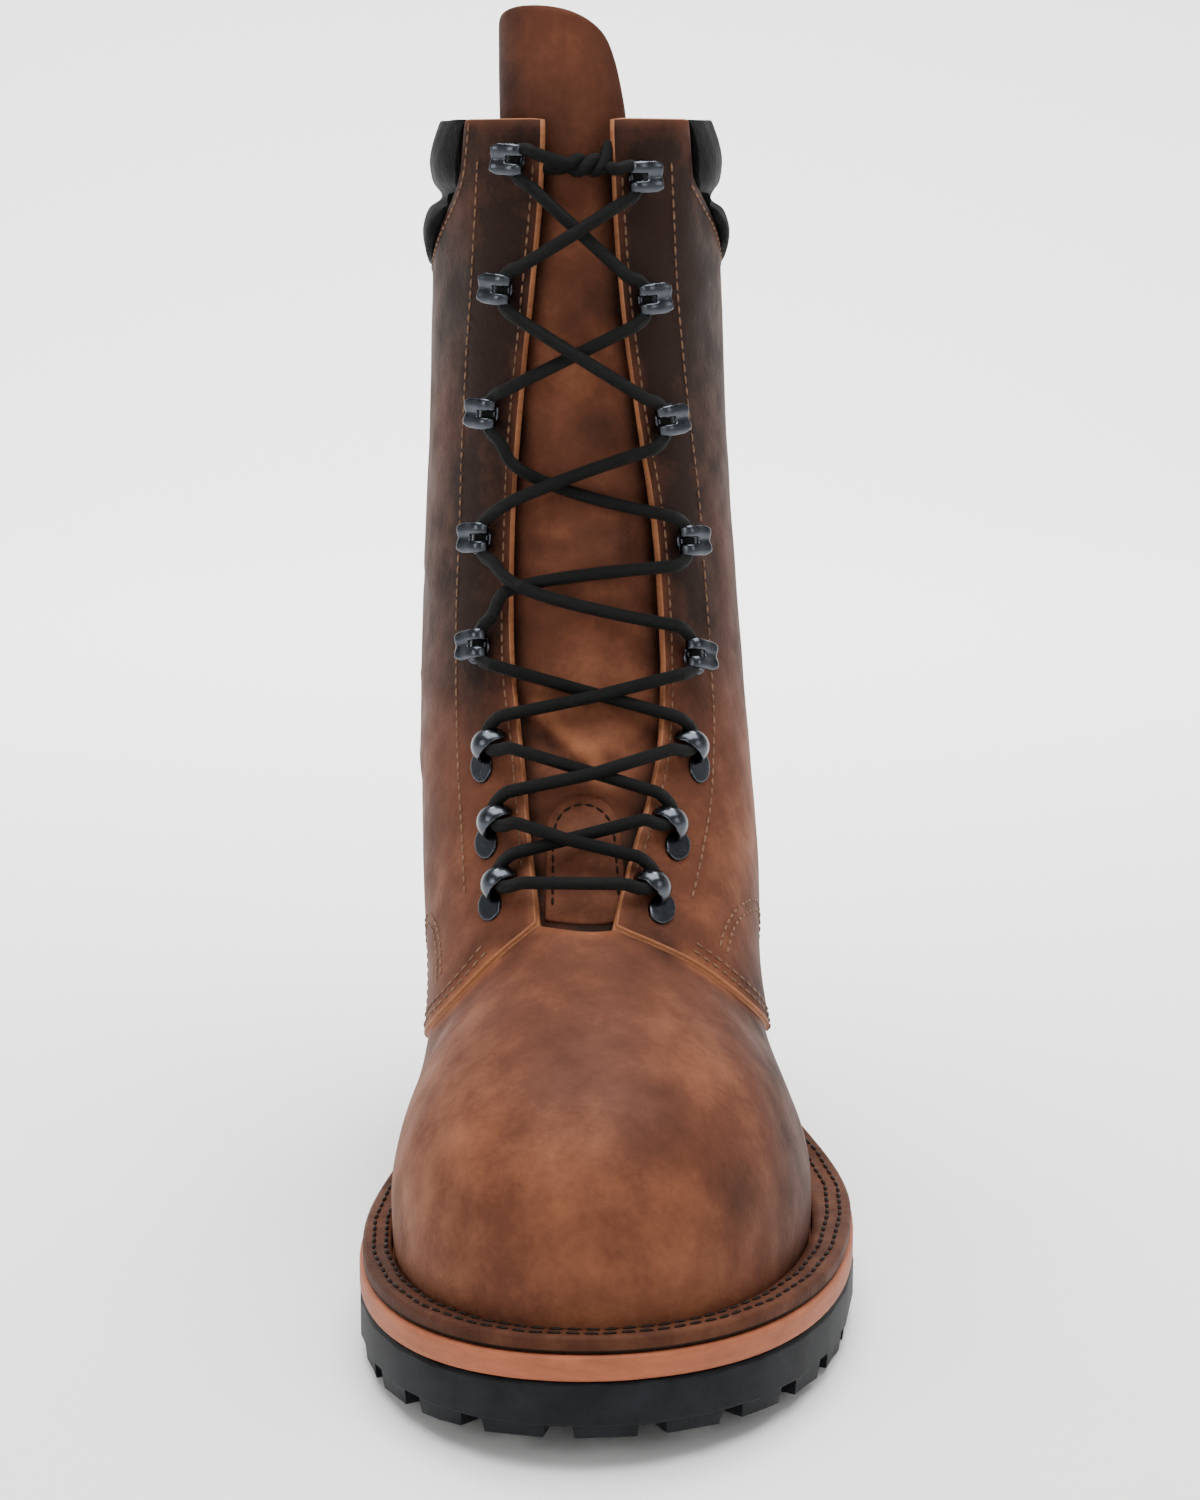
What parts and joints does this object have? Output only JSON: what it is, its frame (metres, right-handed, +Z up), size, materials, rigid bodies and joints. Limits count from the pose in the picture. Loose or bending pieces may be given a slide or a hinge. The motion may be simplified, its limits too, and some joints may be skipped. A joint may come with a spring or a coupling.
{
  "type": "work boot",
  "caption": "Tall left lace-up work boot with rounded leather toe, padded collar, tongue, speed hooks, lace loops, stitched welt and rubber lug sole, to protect foot and ankle.",
  "frame": {"origin": "on the floor, under the middle of the sole's outline", "axes": "+Z up the leg, -Y towards the toe, +X towards the outer side of the foot"},
  "size_m": [0.1266, 0.308, 0.326],
  "materials": {
    "leather_brown": "oiled reddish brown, cloudy, matt to satin",
    "leather_tan": "plain tan leather board, cut edge",
    "leather_black": "soft black, satin",
    "rubber_black": "matt black",
    "lace_black": "braided round cord, matt",
    "metal_black": "black nickel plate"
  },
  "bodies": {
    "root": {"outsole": "rubber_black", "heel": "rubber_black", "midsole": "leather_tan", "insole": "leather_tan", "welt": "leather_brown", "upper": "leather_brown", "tongue": "leather_brown", "collar_pad": "leather_black", "lace_hook_outer_1": "metal_black", "lace_hook_outer_2": "metal_black", "lace_hook_outer_3": "metal_black", "lace_hook_outer_4": "metal_black", "lace_hook_outer_5": "metal_black", "lace_hook_inner_1": "metal_black", "lace_hook_inner_2": "metal_black", "lace_hook_inner_3": "metal_black", "lace_hook_inner_4": "metal_black", "lace_hook_inner_5": "metal_black", "lace_loop_outer_1": "metal_black", "lace_loop_outer_2": "metal_black", "lace_loop_outer_3": "metal_black", "lace_loop_inner_1": "metal_black", "lace_loop_inner_2": "metal_black", "lace_loop_inner_3": "metal_black", "lace_bar": "lace_black", "lace_cross_1": "lace_black", "lace_cross_2": "lace_black", "lace_cross_3": "lace_black", "lace_cross_4": "lace_black", "lace_cross_5": "lace_black", "lace_cross_6": "lace_black", "lace_cross_7": "lace_black", "lace_knot": "lace_black"}
  },
  "joints": []
}
